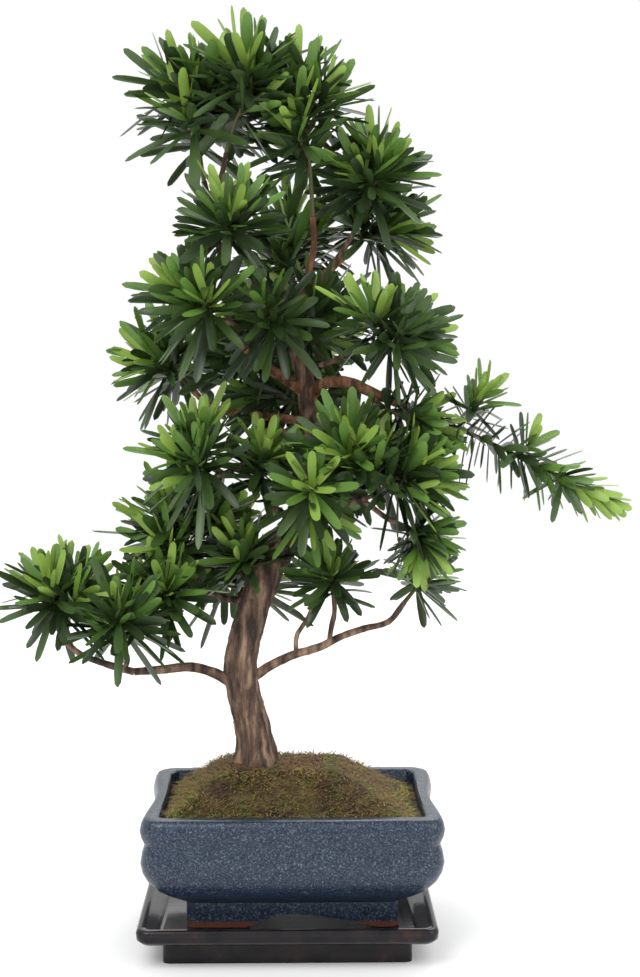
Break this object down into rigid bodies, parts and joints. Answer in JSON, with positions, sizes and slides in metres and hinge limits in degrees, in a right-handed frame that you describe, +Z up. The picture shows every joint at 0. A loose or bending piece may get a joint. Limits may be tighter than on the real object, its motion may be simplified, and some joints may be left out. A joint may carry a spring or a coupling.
{
  "type": "potted bonsai tree",
  "caption": "Buddhist pine bonsai with a leaning trunk and strap-leaved crown, in a rounded rectangular glazed pot that stands in a shallow drip saucer",
  "frame": {"origin": "Centre of the saucer's flat underside, on the surface it stands on", "axes": "+Z up along the tree, -Y the front of the pot's long side, +X to the right seen from the front"},
  "size_m": [0.4391, 0.2124, 0.6423],
  "materials": {
    "bark": "rough, flaking in upright plates",
    "young_bark": "fine, reddish",
    "leaf": "leathery, half gloss",
    "pot_glaze": "speckled slate-blue glaze",
    "saucer_glaze": "glossy brown-black glaze",
    "soil": "loose dry moss and soil"
  },
  "bodies": {
    "root": {"drip_saucer": "saucer_glaze", "pot": "pot_glaze", "soil_mound": "soil", "trunk": "bark", "low_left_bough": "bark", "low_left_outer_bough": "bark", "low_left_stalk": "bark", "low_right_bough": "bark", "low_right_inner_twig": "bark", "low_right_outer_twig": "bark", "middle_left_bough": "bark", "middle_left_lower_bough": "bark", "left_spur": "bark", "left_curling_bough": "bark", "left_long_bough": "young_bark", "left_rising_bough": "young_bark", "left_leader": "bark", "left_shoulder_stalk": "bark", "top_middle_bough": "bark", "left_upper_bough": "bark", "right_leader": "young_bark", "top_leader": "young_bark", "right_shoulder_bough": "bark", "right_arm": "young_bark", "right_arm_stalk": "bark", "right_upper_bough": "bark", "right_middle_bough": "bark", "right_middle_stalk": "bark", "right_drooping_bough": "bark", "far_left_foliage": "leaf", "low_left_foliage": "leaf", "low_right_far_foliage": "leaf", "low_right_rosette": "leaf", "middle_left_foliage": "leaf", "middle_left_lower_foliage": "leaf", "left_spur_foliage": "leaf", "left_lower_foliage": "leaf", "left_middle_foliage": "leaf", "top_left_foliage": "leaf", "left_shoulder_foliage": "leaf", "top_middle_foliage": "leaf", "left_upper_foliage": "leaf", "right_wing_foliage": "leaf", "top_right_foliage": "leaf", "right_shoulder_foliage": "leaf", "right_arm_outer_foliage": "leaf", "right_arm_inner_foliage": "leaf", "right_upper_foliage": "leaf", "right_middle_foliage": "leaf", "right_middle_inner_foliage": "leaf", "right_drooping_foliage": "leaf", "trunk_left_foliage": "leaf", "trunk_front_foliage": "leaf", "left_inner_foliage": "leaf", "trunk_right_foliage": "leaf", "fork_foliage": "leaf", "back_lower_foliage": "leaf", "back_middle_foliage": "leaf", "back_upper_foliage": "leaf", "back_top_foliage": "leaf"}
  },
  "joints": []
}
